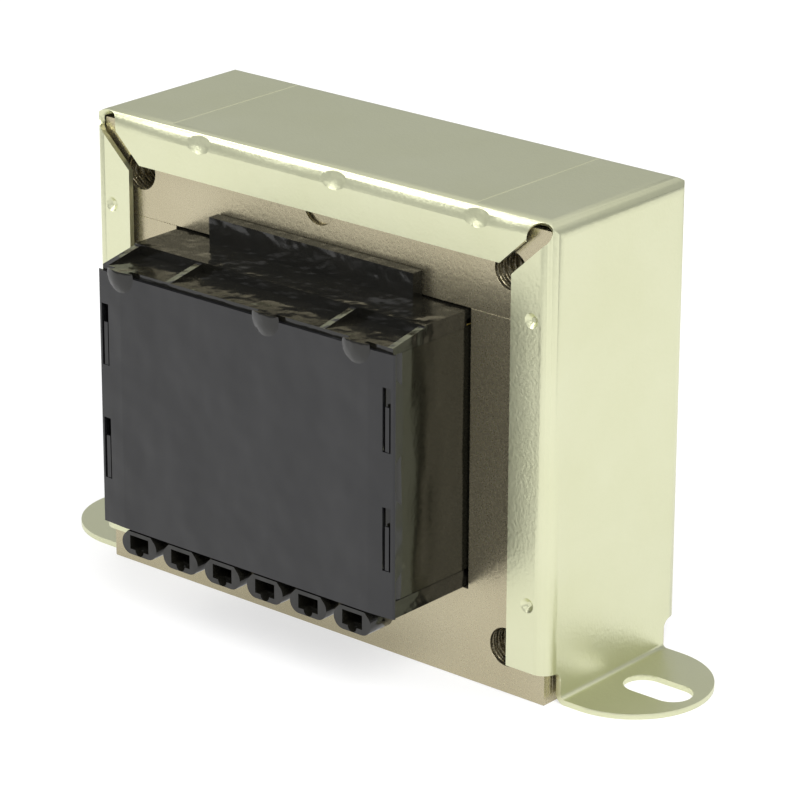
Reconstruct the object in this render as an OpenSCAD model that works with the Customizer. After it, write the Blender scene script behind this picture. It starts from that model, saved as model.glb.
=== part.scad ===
// Laminated chassis transformer: an EI core in a folded steel channel with two
// slotted feet, and a two-chamber bobbin under black covers.
// X runs along the feet, Y through the stack of sheets, Z up from the chassis.
// The origin is midway between the two fixing slots, at the underside of the feet.

/* [Core sheets] */
// Width of the centre leg
leg_w = 22; // [18:0.5:26]
// Width of each outer leg
side_leg_w = 11; // [9:0.5:13]
// Height of the yoke and of the I sheet
yoke_h = 11; // [9:0.5:13]
// Width of each window
window_w = 11; // [10:0.5:14]
// Height of the windows
window_h = 33; // [28:0.5:40]
// Thickness of one sheet
sheet_t = 0.5; // [0.35:0.05:0.65]
// Number of sheets in the stack
sheet_count = 44; // [30:1:52]
// Radius of the holes in the four corners
corner_hole_r = 2.25; // [1.5:0.05:2.5]
// Distance of the corner holes from both edges of the core
corner_hole_inset = 5.5; // [4:0.1:6.5]
// Radius of the middle hole in the I sheet
middle_hole_r = 2.25; // [1:0.05:2.5]
// Height of the middle hole above the window
middle_hole_rise = 7; // [5:0.1:8]

/* [Channel] */
// Thickness of the channel strip
strip_t = 0.65; // [0.5:0.05:1.2]
// Clearance between the channel and the core
core_fit = 0.45; // [0.2:0.05:0.6]
// Clearance between the core's edges and the inside of the channel bends
edge_fit = 0.15; // [0.02:0.01:0.25]
// Height of the core above the chassis
core_lift = 0.05; // [0:0.05:0.5]
// Height of the top lips
top_lip_h = 5.6; // [4.5:0.1:7]
// Width of the side lips
side_lip_w = 5.7; // [4.5:0.1:7]
// Width of the mitre gaps between the lips
mitre_gap = 1.8; // [1:0.1:2.2]
// Shift of the mitre gaps from the corners of the opening towards the top lips
mitre_shift = 0.2; // [0:0.05:0.3]
// Radius of the relief hole at the end of each mitre gap
relief_r = 1.3; // [1.1:0.05:1.6]
// Distance of the centre of a relief hole from the face of the side wall
relief_side = 1.85; // [1.5:0.05:2.5]
// Distance of the centre of a relief hole from the top of the channel
relief_top = 1.15; // [1:0.05:2.5]
// Height of the lower edge of the side walls
wall_rise = 4; // [3:0.1:6]
// Radius of the notch between wall and foot
notch_r = 1.2; // [0.8:0.1:1.5]
// Radius of the punched marks that lock the side lips
stake_r = 0.9; // [0.5:0.05:1.2]
// Depth of these punched marks
stake_d = 0.5; // [0.2:0.05:0.6]
// Height of the punched marks above the ends of the windows
stake_rise = 0.95; // [0:0.05:2]
// Radius of the punch that marks the top bend
punch_r = 4.7; // [4:0.1:6]
// Distance between the marks on the top bend
punch_pitch = 20.4; // [18:0.1:22]
// Depth of the marks on the top bend
punch_d = 0.75; // [0.3:0.05:1.2]
// Height of the centre of these marks above the roof
punch_rise = 0.2; // [0:0.05:1]
// Sideways shift of the row of marks
punch_shift = 3; // [0:0.1:5]
// Distance of the score lines in the top from the middle
score_x = 22.5; // [18:0.5:24]
// Depth of the score lines
score_d = 0.12; // [0.05:0.01:0.2]

/* [Feet] */
// Distance between the centres of the two fixing slots
fixing_pitch = 81; // [80:0.5:90]
// Length of a fixing slot
slot_l = 8.6; // [6:0.1:9]
// Width of a fixing slot
slot_w = 4.8; // [3.5:0.1:5.5]
// Width of the feet
foot_w = 18.8; // [16:0.1:20]
// Length of the feet beyond the slot's centre
foot_end = 5.5; // [5.2:0.1:8]
// Inside radius of the bend at the foot
foot_bend_r = 0.5; // [0.3:0.05:1]

/* [Bobbin] */
// Clearance between the bobbin and the core
bobbin_fit = 0.2; // [0.1:0.05:0.4]
// Wall of the bobbin's core tube
tube_t = 0.9; // [0.6:0.05:1.2]
// Thickness of the cheeks inside the windows
cheek_t = 1.1; // [0.8:0.05:1.5]
// Thickness of the cheeks in front of and behind the core
ledge_t = 2; // [1.8:0.1:3]
// Thickness of the partition between the chambers
partition_t = 0.9; // [0.6:0.05:1.5]
// How far the winding covers stand out from the core
hump_reach = 13; // [11:0.1:16]
// Length of the shelf between the core and the pockets
shelf_l = 7.3; // [5:0.1:8]
// Depth of the pockets in the cheek
pocket_d = 1.2; // [0.5:0.1:1.4]
// Step down from the shelf to the ribs
rib_step = 0.2; // [0:0.05:0.5]
// Thickness of the ribs and rims round the pockets
rib_t = 0.8; // [0.6:0.1:1.2]
// Distance of the ribs from the middle
rib_x = 11.5; // [9:0.5:14]
// Half length of the barrier fins
fin_l = 15.2; // [12:0.1:18]
// Thickness of the barrier fins
fin_t = 1.5; // [1:0.1:2]
// Height of the barrier fins
fin_h = 3.1; // [2:0.1:5]

/* [Terminals] */
// Number of sockets on each side
socket_count = 6; // [6:1:6]
// Distance between the sockets
socket_pitch = 6.5; // [6.2:0.05:7]
// Width of a socket
socket_w = 5.4; // [4.6:0.1:5.8]
// Height of a socket below the cheek
socket_h = 2.8; // [2.4:0.1:3.5]
// How far each side of a socket leans in towards the cheek
socket_lean = 0.9; // [0.3:0.05:1.2]
// Length of a socket
socket_l = 3.7; // [3:0.1:5]
// Radius of the lower corners of a socket
socket_r = 1.35; // [1:0.05:1.5]
// Width of the mouth of a socket
mouth_w = 2.9; // [2.4:0.05:3.2]
// Height of the mouth of a socket
mouth_h = 1.7; // [1.2:0.1:1.8]
// Thickness of the floor of a socket
socket_floor = 0.65; // [0.4:0.05:0.8]
// Length of the half-round notch under each mouth
notch_l = 1.2; // [0.5:0.1:2]
// Thickness of a solder tag
tag_t = 0.5; // [0.3:0.05:0.8]
// Length of a solder tag outside its socket
tag_reach = 4.6; // [3.5:0.1:7]
// Radius of the hole in a solder tag
tag_hole_r = 0.65; // [0.4:0.05:0.8]
// Diameter of a lead-out wire
lead_d = 0.5; // [0.3:0.05:0.6]

/* [Winding] */
// Play between windings, tapes, bobbin and covers
winding_play = 0.05; // [0.02:0.01:0.1]
// Thickness of the tapes over and between the windings
tape_t = 0.25; // [0.1:0.05:0.4]
// Thickness of the outer wrap
wrap_t = 0.4; // [0.2:0.05:0.5]
// Thickness of the winding covers
cover_t = 0.5; // [0.4:0.05:0.8]
// Radius of the outer corners of the windings
winding_r = 3; // [2:0.1:4]
// Part of the lower chamber that the inner secondary fills
inner_share = 0.5; // [0.3:0.05:0.7]

/* [Winding covers] */
// Distance of a cover's lower edge from the bottom of the bobbin
cover_rise = 0.2; // [0:0.05:1]
// Distance of a cover's top edge from the top of the bobbin
cover_drop = 1.8; // [1.3:0.05:2.5]
// Width of the bevelled strip at each upright edge of a cover
bevel_w = 3.6; // [2:0.1:5]
// Depth of that bevel
bevel_d = 0.2; // [0.1:0.05:0.3]
// Height of the hook flaps
flap_h = 8.6; // [6:0.1:10]
// Depth of the hook flaps along the side
flap_l = 1.6; // [1.2:0.1:3]
// Distance of the hook flaps above and below the middle
flap_z = 6.9; // [6:0.1:9]
// Height of the slot in a hook flap
flap_slot_h = 7.4; // [4:0.1:8]
// Width of that slot
flap_slot_w = 1.1; // [0.6:0.1:1.5]
// Radius of the melted ears that hold a cover
ear_r = 2; // [1.4:0.1:2.8]
// How far these ears stand out from the cover
ear_h = 0.45; // [0.2:0.05:0.6]

/* [Hidden] */
$fn = 48;
e = 0.01;
stack = sheet_t * sheet_count;
core_w = leg_w + 2 * window_w + 2 * side_leg_w;
core_h = window_h + 2 * yoke_h;
window_z = core_lift + yoke_h;
window_top = window_z + window_h;
core_top = core_lift + core_h;

// Inside radius of the channel bends, which clears the core's edges
bend_r = (core_fit * sqrt(2) - edge_fit) / (sqrt(2) - 1);

// Outer faces of the channel
wall_x = core_w / 2 + core_fit + strip_t;
lip_y = stack / 2 + core_fit + strip_t;
roof_z = core_top + core_fit + strip_t;
bend_out = bend_r + strip_t;
lip_in_x = wall_x - side_lip_w;
lip_in_z = roof_z - top_lip_h;
foot_x = fixing_pitch / 2;
foot_r = foot_w / 2;

// Bobbin
tube_x = leg_w / 2 + bobbin_fit + tube_t;
tube_y = stack / 2 + bobbin_fit + tube_t;
bobbin_z = window_z + bobbin_fit;
bobbin_top = window_top - bobbin_fit;
cheek_x = leg_w / 2 + window_w - 2 * bobbin_fit;
cover_y = stack / 2 + hump_reach;
cheek_y = cover_y - cover_t - winding_play;
pocket_y = stack / 2 + shelf_l;
partition_z = (bobbin_z + bobbin_top) / 2;
chamber_low = bobbin_z + ledge_t + winding_play;
chamber_high = bobbin_top - ledge_t - winding_play;
cover_low = bobbin_z + cover_rise;
cover_high = bobbin_top - cover_drop;
ear_top = bobbin_top - pocket_d - cover_high;
ear_x = [-18.4, 3.7, 16.8];

// Winding layers, as half widths and half depths from the inside out
wrap_x = cheek_x - winding_play;
wrap_y = cheek_y - winding_play;
lead_room = lead_d + 2 * winding_play;
coil_x = wrap_x - wrap_t - tape_t - 2 * winding_play;
coil_y = wrap_y - wrap_t - lead_room - tape_t - winding_play;
coil_in_x = tube_x + winding_play;
coil_in_y = tube_y + winding_play;
mid_x = coil_in_x + (coil_x - coil_in_x) * inner_share;
mid_y = coil_in_y + (coil_y - coil_in_y) * inner_share;
low_h = partition_z - partition_t / 2 - winding_play - chamber_low;
high_z = partition_z + partition_t / 2 + winding_play;
high_h = chamber_high - high_z;

// Terminals
socket_z = bobbin_z - socket_h;
mouth_z = socket_z + socket_floor;
tag_z = mouth_z + winding_play;
tag_w = mouth_w - 2 * winding_play;
lead_y = wrap_y - wrap_t - lead_room / 2;
// Height from which each lead-out wire comes down: primary, outer and inner secondary
lead_top = [high_z + high_h / 4, high_z + high_h / 4, chamber_low + low_h * 0.6,
            chamber_low + low_h * 0.6, chamber_low + low_h / 4, chamber_low + low_h / 4];

// ---------- shapes that repeat ----------

// Rectangle with round corners, centred
module round_rect(w, d, r) {
    square([w - 2 * r, d], center = true);
    square([w, d - 2 * r], center = true);
    for (x = [-1, 1], y = [-1, 1])
        translate([x * (w / 2 - r), y * (d / 2 - r)]) circle(r);
}

// Block with all its edges along X, Y and Z round, standing on z = 0
module round_block(w, d, h, r) {
    intersection() {
        linear_extrude(h) round_rect(w, d, r);
        translate([0, d / 2, 0]) rotate([90, 0, 0]) linear_extrude(d)
            translate([0, h / 2 - r]) round_rect(w, h + 2 * r, r);
        translate([-w / 2, 0, 0]) rotate([90, 0, 90]) linear_extrude(w)
            translate([0, h / 2 - r]) round_rect(d, h + 2 * r, r);
    }
}

// Upright ring between two half sizes, with round outer corners
module coil_ring(in_x, in_y, out_x, out_y, z, h, r) {
    translate([0, 0, z]) linear_extrude(h) difference() {
        round_rect(2 * out_x, 2 * out_y, r);
        square([2 * in_x, 2 * in_y], center = true);
    }
}

// The front of the bobbin and the same part turned to the rear
module both_ends() {
    children();
    rotate(180) children();
}

// Places its children at each socket along X
module each_socket() {
    for (i = [0 : socket_count - 1])
        translate([(i - (socket_count - 1) / 2) * socket_pitch, 0, 0]) children();
}

// ---------- core ----------

// Holes of one half of the core, seen along Y
module sheet_corner_holes(z) {
    for (x = [-1, 1])
        translate([x * (core_w / 2 - corner_hole_inset), z]) circle(corner_hole_r);
}

// E sheet with its yoke down
module e_outline() {
    difference() {
        translate([-core_w / 2, 0]) square([core_w, yoke_h + window_h]);
        for (x = [-1, 1])
            translate([x * (leg_w + window_w) / 2, yoke_h + window_h / 2 + e])
                square([window_w, window_h + 2 * e], center = true);
        sheet_corner_holes(corner_hole_inset);
    }
}

// I sheet at the top of the core
module i_outline() {
    difference() {
        translate([-core_w / 2, yoke_h + window_h]) square([core_w, yoke_h]);
        sheet_corner_holes(core_h - corner_hole_inset);
        translate([0, yoke_h + window_h + middle_hole_rise]) circle(middle_hole_r);
    }
}

// Every second sheet from number first on, as drawn or turned upside down
module sheets(first, inverted) {
    for (i = [first : 2 : sheet_count - 1])
        translate([0, -stack / 2 + (i + 1) * sheet_t, core_lift])
            rotate([90, 0, 0]) linear_extrude(sheet_t)
                translate([0, inverted ? core_h : 0]) mirror([0, inverted ? 1 : 0])
                    children();
}

module e_sheets_upright() { color([0.62, 0.58, 0.5]) sheets(0, false) e_outline(); }
module i_sheets_top() { color([0.64, 0.61, 0.54]) sheets(0, false) i_outline(); }
module e_sheets_inverted() { color([0.56, 0.52, 0.45]) sheets(1, true) e_outline(); }
module i_sheets_bottom() { color([0.58, 0.54, 0.46]) sheets(1, true) i_outline(); }

// ---------- channel ----------

// Opening between the lips with the mitre gaps, seen along Y
module lip_window() {
    translate([-lip_in_x, -strip_t]) square([2 * lip_in_x, lip_in_z - mitre_gap / 2 + strip_t]);
    translate([-lip_in_x + mitre_gap / 2, 0])
        square([2 * lip_in_x - mitre_gap, lip_in_z]);
    for (x = [-1, 1])
        mitre(x);
}

// One mitre gap, from the corner of the opening to its relief hole, whose lower side it meets
module mitre(side) {
    from = [lip_in_x - mitre_gap / 2, lip_in_z - mitre_gap / 2] + mitre_shift * [-1, 1];
    to = [wall_x - relief_side, roof_z - relief_top]
        + (relief_r - mitre_gap / 2) / sqrt(2) * [1, -1];
    mirror([side < 0 ? 1 : 0, 0]) translate(from)
        rotate(atan2(to[1] - from[1], to[0] - from[0])) translate([0, -mitre_gap / 2])
            square([norm(to - from), mitre_gap]);
}

// Relief holes along the diagonals of the four upper corners
module relief_holes() {
    for (x = [-1, 1], y = [-1, 1])
        translate([x * (wall_x - relief_side), y * lip_y, roof_z - relief_top])
            rotate([0, acos(1 / sqrt(3)), atan2(y, x)])
                cylinder(h = 4 * relief_r, r = relief_r, center = true);
}

// Notches that leave the narrower neck of a foot, seen along X
module neck_notches() {
    for (y = [-1, 1]) {
        translate([y * (foot_r + notch_r), wall_rise - notch_r]) circle(notch_r);
        translate([y * (foot_r + notch_r + lip_y), wall_rise - notch_r])
            square([2 * lip_y, 2 * notch_r], center = true);
        translate([y * (foot_r + lip_y), (wall_rise - notch_r) / 2 - strip_t])
            square([2 * lip_y, wall_rise - notch_r + 2 * strip_t], center = true);
    }
}

// Folded channel without its feet
module channel() {
    difference() {
        round_block(2 * wall_x, 2 * lip_y, roof_z, bend_out);
        translate([0, 0, -e])
            round_block(2 * (wall_x - strip_t), 2 * (lip_y - strip_t), roof_z - strip_t + e, bend_r);
        translate([0, lip_y + e, 0]) rotate([90, 0, 0])
            linear_extrude(2 * lip_y + 2 * e) translate([-wall_x, -e])
                square([2 * wall_x, foot_bend_r + strip_t + e]);
        for (y = [-1, 1]) {
            translate([0, y * (lip_y - bend_out / 2 + e), 0]) rotate([90, 0, 0])
                linear_extrude(bend_out + 2 * e, center = true) lip_window();
        }
        translate([-wall_x - e, 0, 0]) rotate([90, 0, 90])
            linear_extrude(2 * wall_x + 2 * e) neck_notches();
        relief_holes();
    }
}

// Foot of the +X side: bend and tongue with its slot
module foot() {
    inner = wall_x - strip_t;
    difference() {
        intersection() {
            translate([0, foot_r, 0]) rotate([90, 0, 0]) linear_extrude(foot_w)
                difference() {
                    union() {
                        translate([inner, 0])
                            square([foot_x + foot_end - inner, strip_t]);
                        translate([inner, strip_t])
                            square([strip_t + foot_bend_r, foot_bend_r]);
                    }
                    translate([wall_x + foot_bend_r, strip_t + foot_bend_r])
                        circle(foot_bend_r);
                    difference() {
                        translate([inner - e, -e]) square(strip_t + foot_bend_r + e);
                        translate([inner + strip_t + foot_bend_r, strip_t + foot_bend_r])
                            circle(strip_t + foot_bend_r);
                    }
                }
            translate([0, 0, -e]) linear_extrude(2 * strip_t + foot_bend_r) {
                translate([0, -foot_r]) square([foot_x + foot_end - foot_r, foot_w]);
                translate([foot_x + foot_end - foot_r, 0]) circle(foot_r);
            }
        }
        translate([foot_x, 0, -e]) linear_extrude(strip_t + 2 * e)
            round_rect(slot_l, slot_w, slot_w / 2 - e);
    }
}

// Places its children at each punched mark of the side lips, with Z into the lip
module each_stake() {
    for (x = [-1, 1], y = [-1, 1], z = [window_z, window_top])
        translate([x * (lip_in_x + side_lip_w / 2), y * lip_y, z + stake_rise])
            rotate([y * 90, 0, 0]) children();
}

// Punched marks: cones in the side lips, scoops in the front and rear top bends
module punch_marks() {
    each_stake() translate([0, 0, -e]) cylinder(h = stake_d, r1 = stake_r, r2 = stake_r / 3);
    for (y = [-1, 1], i = [-1 : 1])
        translate([i * punch_pitch - y * punch_shift, y * (lip_y + punch_r - punch_d),
                   roof_z + punch_rise])
            sphere(punch_r);
}

module frame() {
    color([0.8, 0.79, 0.6]) difference() {
        union() {
            channel();
            for (side = [0, 1]) mirror([side, 0, 0]) foot();
            // metal that the punched marks press against the core
            each_stake() translate([0, 0, strip_t - e])
                cylinder(h = core_fit + e, r = stake_r * 0.7);
        }
        punch_marks();
        for (x = [-1, 1])
            translate([x * score_x, 0, roof_z]) rotate([0, 45, 0])
                cube([score_d * sqrt(2), 2 * lip_y, score_d * sqrt(2)], center = true);
    }
}

// ---------- bobbin ----------

// Cheek plate of one thickness over a band of Y
module cheek_band(y0, y1, z, h) {
    translate([-cheek_x, y0, z]) cube([2 * cheek_x, y1 - y0, h]);
}

// Top ledge in front of the core: shelf, pockets with ribs and rims, barrier fin
module top_ledge() {
    difference() {
        cheek_band(-cheek_y, -stack / 2 - bobbin_fit, bobbin_top - ledge_t, ledge_t);
        // pockets between the ribs and rims
        for (x = [[-cheek_x + rib_t, -rib_x - rib_t / 2], [-rib_x + rib_t / 2, rib_x - rib_t / 2],
                  [rib_x + rib_t / 2, cheek_x - rib_t]])
            translate([x[0], -cheek_y - e, bobbin_top - pocket_d])
                cube([x[1] - x[0], cheek_y - pocket_y + e, pocket_d + e]);
        // ribs and rims fall towards the front edge
        translate([-cheek_x - e, 0, 0]) rotate([90, 0, 90]) linear_extrude(2 * cheek_x + 2 * e)
            polygon([[-pocket_y, bobbin_top - rib_step], [-pocket_y, bobbin_top + e],
                     [-cheek_y - e, bobbin_top + e], [-cheek_y - e, bobbin_top - pocket_d]]);
    }
    translate([-fin_l, -stack / 2 - bobbin_fit - fin_t, bobbin_top - e])
        cube([2 * fin_l, fin_t, fin_h + e]);
}

// Outline of a socket seen along Y: round lower corners, sides that lean in
module socket_outline() {
    c = [socket_w / 2 - socket_r, socket_r];
    top = [socket_w / 2 - socket_lean, socket_h + e];
    reach = norm(top - c);
    lean = atan2(top[1] - c[1], top[0] - c[0]) - acos(socket_r / reach);
    touch = c + socket_r * [cos(lean), sin(lean)];
    for (s = [-1, 1]) translate([s * c[0], c[1]]) circle(socket_r);
    polygon([[-c[0], 0], [c[0], 0], touch, top, [-top[0], top[1]], [-touch[0], touch[1]]]);
}

// Row of sockets under the front of the bottom cheek
module socket_row() {
    each_socket() translate([0, -cover_y + socket_l, socket_z]) rotate([90, 0, 0])
        linear_extrude(socket_l) socket_outline();
}

// Mouths, the half-round notch under each and the slot for the lead-out wire
module socket_cuts() {
    each_socket() {
        translate([-mouth_w / 2, -cover_y - e, mouth_z]) cube([mouth_w, socket_l + 2 * e, mouth_h]);
        translate([0, -cover_y + notch_l, mouth_z + e]) rotate([90, 0, 0])
            cylinder(h = notch_l + e, r = socket_floor);
        translate([0, -lead_y, mouth_z + mouth_h - e])
            cylinder(h = ledge_t + socket_h, r = lead_d / 2 + winding_play);
    }
}

// Ears of the top ledge, melted down over the top edge of the cover
module cover_ears() {
    ball = (ear_r * ear_r + ear_h * ear_h) / (2 * ear_h);
    neck_w = ear_r * 1.2;
    for (x = ear_x) translate([x, 0, cover_high]) {
        intersection() {
            translate([0, -cover_y - ear_h + ball, 0]) sphere(ball);
            translate([-ear_r, -cover_y - ear_h, -ear_r])
                cube([2 * ear_r, ear_h, ear_r + ear_top]);
        }
        translate([-neck_w / 2, -cover_y - e, winding_play])
            cube([neck_w, cover_y - cheek_y + 2 * e, ear_top - winding_play]);
    }
}

module bobbin() {
    color([0.13, 0.13, 0.13]) difference() {
        union() {
            // core tube
            translate([0, 0, bobbin_z]) linear_extrude(bobbin_top - bobbin_z)
                square([2 * tube_x, 2 * tube_y], center = true);
            // cheeks in the windows and the partition
            for (z = [bobbin_z, bobbin_top - cheek_t])
                cheek_band(-stack / 2 - bobbin_fit - e, stack / 2 + bobbin_fit + e, z, cheek_t);
            translate([0, 0, partition_z - partition_t / 2]) linear_extrude(partition_t)
                square([2 * coil_x, 2 * coil_y], center = true);
            both_ends() {
                top_ledge();
                cheek_band(-cheek_y, -stack / 2 - bobbin_fit, bobbin_z, ledge_t);
                socket_row();
                cover_ears();
            }
        }
        translate([0, 0, bobbin_z - e]) linear_extrude(bobbin_top - bobbin_z + fin_h)
            square([leg_w + 2 * bobbin_fit, stack + 2 * bobbin_fit], center = true);
        both_ends() socket_cuts();
    }
}

// ---------- windings, tapes and wrap ----------

module primary_winding() {
    color([0.72, 0.36, 0.18])
        coil_ring(coil_in_x, coil_in_y, coil_x, coil_y, high_z, high_h, winding_r);
}

module primary_tape() {
    color([0.85, 0.75, 0.3])
        tape_ring(coil_x, coil_y, high_z, high_h, winding_r);
}

// Tape of the named thickness just outside a ring of these half sizes
module tape_ring(x, y, z, h, r) {
    translate([0, 0, z]) linear_extrude(h) difference() {
        round_rect(2 * (x + winding_play + tape_t), 2 * (y + winding_play + tape_t),
                   r + winding_play + tape_t);
        round_rect(2 * (x + winding_play), 2 * (y + winding_play), r + winding_play);
    }
}

module secondary_winding_inner() {
    color([0.72, 0.36, 0.18])
        coil_ring(coil_in_x, coil_in_y, mid_x, mid_y, chamber_low, low_h, winding_r / 2);
}

module secondary_inner_tape() {
    color([0.85, 0.75, 0.3]) tape_ring(mid_x, mid_y, chamber_low, low_h, winding_r / 2);
}

module secondary_winding_outer() {
    gap = tape_t + 2 * winding_play;
    color([0.75, 0.4, 0.2]) translate([0, 0, chamber_low]) linear_extrude(low_h) difference() {
        round_rect(2 * coil_x, 2 * coil_y, winding_r);
        round_rect(2 * (mid_x + gap), 2 * (mid_y + gap), winding_r / 2 + gap);
    }
}

module secondary_outer_tape() {
    color([0.85, 0.75, 0.3]) tape_ring(coil_x, coil_y, chamber_low, low_h, winding_r);
}

module outer_wrap() {
    color([0.1, 0.1, 0.1]) translate([0, 0, chamber_low]) linear_extrude(chamber_high - chamber_low)
        difference() {
            round_rect(2 * wrap_x, 2 * wrap_y, winding_r / 2);
            round_rect(2 * (wrap_x - wrap_t), 2 * (wrap_y - wrap_t), winding_r / 2 - wrap_t);
        }
}

// ---------- winding covers ----------

// Plan of a cover: flat face, bevelled strips at the edges, and the sides
module cover_plan(inset, depth) {
    x = wrap_x + winding_play + cover_t - inset;
    y = -cover_y + inset;
    polygon([[-x, y + depth], [-x, y + 2 * bevel_d], [-x + bevel_d, y + bevel_d],
             [-x + bevel_w, y], [x - bevel_w, y], [x - bevel_d, y + bevel_d],
             [x, y + 2 * bevel_d], [x, y + depth]]);
}

// Sides of a cover seen along X: a narrow return with two hook flaps
module cover_side() {
    back = -cover_y + cover_t;
    translate([-cover_y - e, cover_low]) square([cover_t + e, cover_high - cover_low]);
    for (z = [-1, 1]) translate([0, partition_z + z * flap_z])
        polygon([[-cover_y, -flap_h / 2 - cover_t], [back, -flap_h / 2 - cover_t],
                 [-cover_y + flap_l, -flap_h / 2 + cover_t],
                 [-cover_y + flap_l, flap_h / 2 - cover_t],
                 [back, flap_h / 2 + cover_t], [-cover_y, flap_h / 2 + cover_t]]);
}

module cover() {
    x = wrap_x + winding_play;
    difference() {
        intersection() {
            translate([0, 0, cover_low]) linear_extrude(cover_high - cover_low) difference() {
                cover_plan(0, flap_l + e);
                translate([-x, -cover_y + cover_t]) square([2 * x, flap_l]);
            }
            translate([-x - cover_t, 0, 0]) rotate([90, 0, 90])
                linear_extrude(2 * (x + cover_t)) cover_side();
        }
        // slots in the hook flaps
        for (s = [-1, 1], z = [-1, 1])
            translate([s * (x - flap_slot_w / 2), -cover_y, partition_z + z * flap_z])
                cube([flap_slot_w, 4 * cover_t, flap_slot_h], center = true);
    }
    // bent tongue in each slot, fixed at its lower end
    tongue_h = flap_slot_h * 0.7;
    for (s = [-1, 1], z = [-1, 1])
        translate([s * (x - flap_slot_w / 2) - flap_slot_w / 4, -cover_y + cover_t / 2,
                   partition_z + z * flap_z - flap_slot_h / 2 - e])
            cube([flap_slot_w / 2, cover_t / 2, tongue_h]);
}

module front_cover() { color([0.17, 0.17, 0.18]) cover(); }
module rear_cover() { color([0.17, 0.17, 0.18]) rotate(180) cover(); }

// ---------- terminals ----------

// X of terminal number i, counted from 1
function terminal_x(i) = (i - (socket_count + 1) / 2) * socket_pitch;

// Solder tag in rear socket number i: blade with a round end and a wire hole
module solder_tag(i) {
    y_end = cover_y + tag_reach;
    color([0.8, 0.78, 0.7]) translate([terminal_x(i), 0, tag_z]) linear_extrude(tag_t)
        difference() {
            union() {
                translate([-tag_w / 2, cover_y - socket_l])
                    square([tag_w, y_end - tag_w / 2 - cover_y + socket_l]);
                translate([0, y_end - tag_w / 2]) circle(tag_w / 2);
            }
            translate([0, y_end - tag_w / 2]) circle(tag_hole_r);
        }
}

// Lead-out wire number i: down inside the wrap and through the cheek to its tag
module lead_wire(i) {
    color([0.72, 0.36, 0.18]) translate([terminal_x(i), lead_y, tag_z + tag_t])
        cylinder(h = lead_top[i - 1] - tag_z - tag_t, r = lead_d / 2);
}

frame();
e_sheets_upright();
i_sheets_top();
e_sheets_inverted();
i_sheets_bottom();
bobbin();
primary_winding();
primary_tape();
secondary_winding_inner();
secondary_inner_tape();
secondary_winding_outer();
secondary_outer_tape();
outer_wrap();
front_cover();
rear_cover();
solder_tag(1);  // solder_tag_1
solder_tag(2);  // solder_tag_2
solder_tag(3);  // solder_tag_3
solder_tag(4);  // solder_tag_4
solder_tag(5);  // solder_tag_5
solder_tag(6);  // solder_tag_6
lead_wire(1);  // lead_wire_1
lead_wire(2);  // lead_wire_2
lead_wire(3);  // lead_wire_3
lead_wire(4);  // lead_wire_4
lead_wire(5);  // lead_wire_5
lead_wire(6);  // lead_wire_6
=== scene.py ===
import bpy
import math
from mathutils import Matrix, Vector

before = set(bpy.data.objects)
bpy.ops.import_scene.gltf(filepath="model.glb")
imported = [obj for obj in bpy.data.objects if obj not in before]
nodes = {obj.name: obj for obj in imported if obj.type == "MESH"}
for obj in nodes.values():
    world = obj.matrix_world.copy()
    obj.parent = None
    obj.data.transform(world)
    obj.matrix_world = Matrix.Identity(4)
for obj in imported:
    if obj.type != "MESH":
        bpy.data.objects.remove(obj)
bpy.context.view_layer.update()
MM = 0.001


# ---------------------------------------------------------------- bobbin
# The two-chamber former, moulded in black nylon with six terminal sockets at the front
# and six at the rear. After assembly the whole transformer was dipped in clear varnish,
# which leaves a wet gloss on it.

class Wire:
    """A socket of a finish's nodes. Python arithmetic on it adds Math nodes."""

    def __init__(self, finish, socket):
        self.finish = finish
        self.socket = socket

    def maths(self, operation, *values):
        return self.finish.node("ShaderNodeMath", {"operation": operation},
                                dict(enumerate(values)))

    def __add__(self, other):
        return self.maths("ADD", self, other)

    def __mul__(self, other):
        return self.maths("MULTIPLY", self, other)

    __radd__ = __add__
    __rmul__ = __mul__


class Finish:
    """The nodes of a material or of the room, and the one method that adds to them."""

    def __init__(self, name, kind="materials", shader="Principled BSDF"):
        self.block = getattr(bpy.data, kind).new(name)
        self.block.use_nodes = True
        self.tree = self.block.node_tree
        self.shader = self.tree.nodes[shader]

    def node(self, kind, settings=None, inputs=None, out=None):
        made = self.tree.nodes.new(kind)
        for name, value in (settings or {}).items():
            if name == "stops":
                for stop, (place, colour) in zip(made.color_ramp.elements, value):
                    stop.position, stop.color = place, (*colour, 1.0)
            else:
                setattr(made, name, value)
        for name, value in (inputs or {}).items():
            self.join(made.inputs[name], value)
        outputs = [s for s in made.outputs if s.enabled and out in (None, s.name)]
        return Wire(self, outputs[0])

    def join(self, socket, value):
        if isinstance(value, Wire):
            self.tree.links.new(value.socket, socket)
        elif isinstance(value, tuple) and len(value) == 3 and socket.type == "RGBA":
            socket.default_value = (*value, 1.0)
        else:
            socket.default_value = value

    def set(self, **values):
        for name, value in values.items():
            self.join(self.shader.inputs[name.replace("_", " ")], value)

    def place(self):
        """Position in millimetres."""
        where = self.node("ShaderNodeTexCoord", out="Object")
        return self.node("ShaderNodeVectorMath", {"operation": "SCALE"},
                         {0: where, "Scale": 1 / MM})

    def noise(self, where, scale, detail, stretch=None):
        """Noise from about 0 to 1, scale in cycles per millimetre."""
        if stretch:
            where = self.node("ShaderNodeVectorMath", {"operation": "MULTIPLY"},
                              {0: where, 1: stretch})
        return self.node("ShaderNodeTexNoise", None,
                         {"Vector": where, "Scale": scale, "Detail": detail})

    def mix(self, share, first, second):
        return self.node("ShaderNodeMix", {"data_type": "RGBA"},
                         {0: share, 6: first, 7: second})

    def bump(self, height, depth):
        """Normal for a height from 0 to 1 that stands for depth millimetres."""
        return self.node("ShaderNodeBump", None, {"Height": height, "Distance": depth * MM})


WELD_REACH = 1e-6
ROUNDED_FROM = math.radians(30.0)


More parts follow.
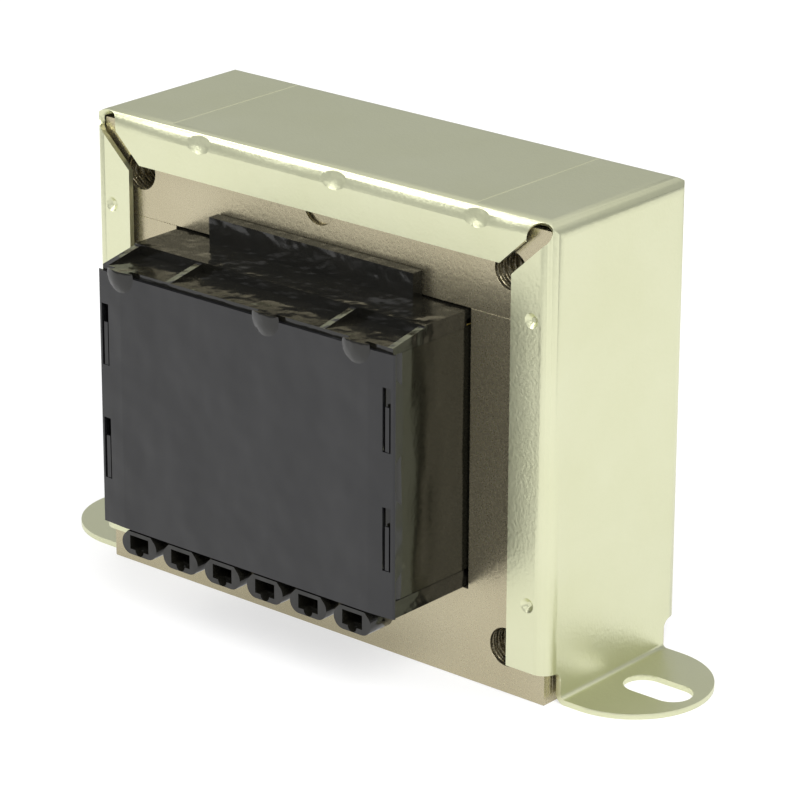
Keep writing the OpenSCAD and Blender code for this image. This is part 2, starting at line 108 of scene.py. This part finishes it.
def soften(name, radius, steps=2):
    """Rounds the edges of a moulded or cut piece without touching its own mesh."""
    piece = nodes[name]
    weld = piece.modifiers.new("weld", "WELD")
    weld.merge_threshold = WELD_REACH
    bevel = piece.modifiers.new("edges", "BEVEL")
    bevel.width = radius * MM
    bevel.segments = steps
    bevel.limit_method = "ANGLE"
    bevel.angle_limit = ROUNDED_FROM
    bevel.harden_normals = True
    return piece


NYLON_EDGE = 0.15
NYLON_COLD, NYLON_WARM = (0.006, 0.006, 0.005), (0.012, 0.011, 0.008)
RIPPLES_PER_MM, GRAINS_PER_MM = 0.25, 3.0
GRAIN_SHARE = 0.02
RIPPLE_DEPTH = 0.35

black = Finish("varnished_nylon")
at = black.place()
ripple = black.noise(at, RIPPLES_PER_MM, detail=2.0)
grain = black.noise(at, GRAINS_PER_MM, detail=4.0)
black.set(Base_Color=black.mix(ripple, NYLON_COLD, NYLON_WARM),
          Roughness=0.09 + grain * 0.08,
          Normal=black.bump(ripple + grain * GRAIN_SHARE, RIPPLE_DEPTH))
soften("bobbin", NYLON_EDGE).data.materials[0] = black.block


# ---------------------------------------------------------------- windings and leads
# Enamelled copper wire: the primary in the upper chamber, two secondaries in the lower
# one, and six lead-out wires that run down inside the wrap to the solder tags.

ENAMEL_DARK, ENAMEL_BRIGHT = (0.25, 0.07, 0.02), (0.62, 0.25, 0.09)
TURNS_SCALE, TURNS_UNEVEN = 0.62, 0.3
TURN_DEPTH = 0.1
LEADS = 6

copper = Finish("enamelled_copper")
turns = copper.node("ShaderNodeTexWave", {"wave_type": "BANDS", "bands_direction": "Z"},
                    {"Vector": copper.place(), "Scale": TURNS_SCALE,
                     "Distortion": TURNS_UNEVEN, "Detail": 1.0})
copper.set(Base_Color=copper.mix(turns, ENAMEL_DARK, ENAMEL_BRIGHT),
           Metallic=1.0, Roughness=0.25, Normal=copper.bump(turns, TURN_DEPTH))
for name in ("primary_winding", "secondary_winding_inner", "secondary_winding_outer",
             *(f"lead_wire_{i + 1}" for i in range(LEADS))):
    nodes[name].data.materials[0] = copper.block


# ---------------------------------------------------------------- tapes
# Yellow polyester tape, wound over each winding.

TAPE_DARK, TAPE_BRIGHT = (0.72, 0.5, 0.08), (0.85, 0.66, 0.18)
CREASES_PER_MM, CREASE_DEPTH = 0.6, 0.1
UPRIGHT_CREASES = (1, 1, 0.3)

tape = Finish("polyester_tape")
creases = tape.noise(tape.place(), CREASES_PER_MM, detail=3.0, stretch=UPRIGHT_CREASES)
tape.set(Base_Color=tape.mix(creases, TAPE_DARK, TAPE_BRIGHT),
         Roughness=0.25 + creases * 0.15, Normal=tape.bump(creases, CREASE_DEPTH))
for name in ("primary_tape", "secondary_inner_tape", "secondary_outer_tape"):
    nodes[name].data.materials[0] = tape.block


# ---------------------------------------------------------------- outer wrap
# Black fish paper round both chambers, soaked with varnish.

PAPER_COLD, PAPER_WARM = (0.006, 0.006, 0.004), (0.016, 0.015, 0.01)
WAVES_PER_MM, FIBRES_PER_MM = 0.12, 2.0
UPRIGHT_WAVES = (1, 1, 0.35)
FIBRE_SHARE = 0.02
WAVE_DEPTH = 0.5

wrap = Finish("varnished_paper")
at = wrap.place()
waves = wrap.noise(at, WAVES_PER_MM, detail=2.0, stretch=UPRIGHT_WAVES)
fibres = wrap.noise(at, FIBRES_PER_MM, detail=4.0)
wrap.set(Base_Color=wrap.mix(waves, PAPER_COLD, PAPER_WARM),
         Roughness=0.08 + fibres * 0.08,
         Normal=wrap.bump(waves + fibres * FIBRE_SHARE, WAVE_DEPTH))
nodes["outer_wrap"].data.materials[0] = wrap.block


# ---------------------------------------------------------------- solder tags
# Punched from tinned brass and pushed into the rear sockets.

TAGS = 6
TAG_EDGE = 0.05
TIN_DULL, TIN_BRIGHT = (0.62, 0.6, 0.54), (0.75, 0.74, 0.7)
DULL_SPOTS_PER_MM, TIN_DEPTH = 1.2, 0.05

tinned = Finish("tinned_brass")
dull = tinned.noise(tinned.place(), DULL_SPOTS_PER_MM, detail=4.0)
tinned.set(Base_Color=tinned.mix(dull, TIN_DULL, TIN_BRIGHT), Metallic=1.0,
           Roughness=0.22 + dull * 0.2, Normal=tinned.bump(dull, TIN_DEPTH))
for i in range(TAGS):
    soften(f"solder_tag_{i + 1}", TAG_EDGE).data.materials[0] = tinned.block


# ---------------------------------------------------------------- winding covers
# Black polyester sheet, folded over the front and the rear of the winding.

SHEET_BLACK = (0.008, 0.008, 0.009)
DENTS_PER_MM, DENT_DEPTH = 0.12, 0.6

sheet = Finish("black_sheet")
dents = sheet.noise(sheet.place(), DENTS_PER_MM, detail=2.0)
sheet.set(Base_Color=SHEET_BLACK, Roughness=0.16, Normal=sheet.bump(dents, DENT_DEPTH))
for name in ("front_cover", "rear_cover"):
    nodes[name].data.materials[0] = sheet.block


# ---------------------------------------------------------------- core sheets
# Grain-oriented steel sheets, stacked with every second one turned over, under varnish.

SHEET_EDGE = 0.05
STEEL_BROWN, STEEL_TAN = (0.42, 0.37, 0.24), (0.52, 0.47, 0.33)
STEEL_CLOUDS_PER_MM, STEEL_GRAINS_PER_MM = 0.08, 2.5
STEEL_GRAIN_DEPTH = 0.02

core = Finish("varnished_core_steel")
at = core.place()
cloud = core.noise(at, STEEL_CLOUDS_PER_MM, detail=3.0)
fine = core.noise(at, STEEL_GRAINS_PER_MM, detail=4.0)
core.set(Base_Color=core.mix(cloud, STEEL_BROWN, STEEL_TAN),
         Metallic=0.9, Roughness=0.22 + fine * 0.1,
         Normal=core.bump(fine, STEEL_GRAIN_DEPTH))
for name in ("e_sheets_upright", "i_sheets_top", "e_sheets_inverted", "i_sheets_bottom"):
    soften(name, SHEET_EDGE, steps=1).data.materials[0] = core.block


# ---------------------------------------------------------------- channel
# One strip of steel with yellow passivated zinc, folded round the core and staked.

STRIP_EDGE = 0.08
ZINC_OLIVE, ZINC_PALE = (0.66, 0.67, 0.44), (0.72, 0.73, 0.52)
ZINC_CLOUDS_PER_MM, ZINC_GRAINS_PER_MM = 0.1, 2.5
ZINC_GRAIN_DEPTH = 0.03

zinc = Finish("passivated_zinc")
at = zinc.place()
cloud = zinc.noise(at, ZINC_CLOUDS_PER_MM, detail=3.0)
fine = zinc.noise(at, ZINC_GRAINS_PER_MM, detail=4.0)
zinc.set(Base_Color=zinc.mix(cloud, ZINC_OLIVE, ZINC_PALE),
         Metallic=0.95, Roughness=0.3 + fine * 0.1,
         Normal=zinc.bump(fine, ZINC_GRAIN_DEPTH))
soften("frame", STRIP_EDGE).data.materials[0] = zinc.block


# ---------------------------------------------------------------- floor, light, camera
# A plain white floor, a pale room and two large soft lamps. The camera stands at the
# front right, a little above the top of the core.

FLOOR_SIZE = 6.0
FLOOR_LIT, FLOOR_SEEN = (0.8, 0.8, 0.8), (0.4, 0.4, 0.4)
NO_GLOW, SEEN_GLOW = (0.0, 0.0, 0.0), (0.66, 0.66, 0.66)

bpy.ops.mesh.primitive_plane_add(size=FLOOR_SIZE)
floor = bpy.context.object
floor.name = "floor"
white = Finish("white_floor")
in_view, mirrored, through = (white.node("ShaderNodeLightPath", out=ray) for ray in
                              ("Is Camera Ray", "Is Glossy Ray", "Is Transmission Ray"))
seen = in_view.maths("MAXIMUM", in_view, mirrored)
seen = seen.maths("MAXIMUM", seen, through)
white.set(Specular_IOR_Level=0.0, Roughness=1.0, Emission_Strength=1.0,
          Base_Color=white.mix(seen, FLOOR_LIT, FLOOR_SEEN),
          Emission_Color=white.mix(seen, NO_GLOW, SEEN_GLOW))
floor.data.materials.append(white.block)

LOW_AIR, HIGH_AIR = (0.25, (0.38, 0.39, 0.40)), (0.75, (0.8, 0.8, 0.8))
WHITE = (1.0, 1.0, 1.0)

room = Finish("room", "worlds", "Background")
bpy.context.scene.world = room.block
direction = room.node("ShaderNodeTexCoord", out="Generated")
height = room.node("ShaderNodeSeparateXYZ", None, {0: direction}, "Z")
air = room.node("ShaderNodeValToRGB", {"stops": (LOW_AIR, HIGH_AIR)}, {0: height}, "Color")
room.set(Color=room.mix(room.node("ShaderNodeLightPath", out="Is Camera Ray"), air, WHITE))

LIT_POINT = Vector((0, 0, 0.028))


def softbox(name, place, size, power):
    """A square lamp that faces the middle of the core."""
    lamp = bpy.data.lights.new(name, "AREA")
    lamp.size, lamp.energy = size, power
    holder = bpy.data.objects.new(name, lamp)
    bpy.context.scene.collection.objects.link(holder)
    holder.location = Vector(place)
    aim = (LIT_POINT - holder.location).to_track_quat("-Z", "Y")
    holder.rotation_euler = aim.to_euler()


softbox("key", (0.7, -0.45, 0.8), size=0.6, power=9.0)
softbox("fill", (-0.7, -0.7, 0.9), size=0.7, power=5.0)

LOOK_AT = Vector((2.77, -0.25, 25.7)) * MM
DISTANCE = 450.7 * MM
AZIMUTH, ELEVATION, ROLL = (math.radians(a) for a in (40.50, 20.47, 0.22))
SENSOR_WIDTH, LENS = 36.0, 176.6
NEAR_LIMIT = 0.01

back = Vector((math.sin(AZIMUTH) * math.cos(ELEVATION),
               -math.cos(AZIMUTH) * math.cos(ELEVATION), math.sin(ELEVATION)))
right = Vector((0, 0, 1)).cross(back).normalized()
up = back.cross(right)
turned_right = math.cos(ROLL) * right + math.sin(ROLL) * up
turned_up = math.cos(ROLL) * up - math.sin(ROLL) * right
axes = Matrix((turned_right, turned_up, back)).transposed()
camera = bpy.data.objects.new("camera", bpy.data.cameras.new("camera"))
bpy.context.scene.collection.objects.link(camera)
camera.matrix_world = Matrix.Translation(LOOK_AT + back * DISTANCE) @ axes.to_4x4()
camera.data.sensor_width = SENSOR_WIDTH
camera.data.lens = LENS
camera.data.clip_start = NEAR_LIMIT
bpy.context.scene.camera = camera
bpy.context.scene.view_settings.view_transform = "Standard"
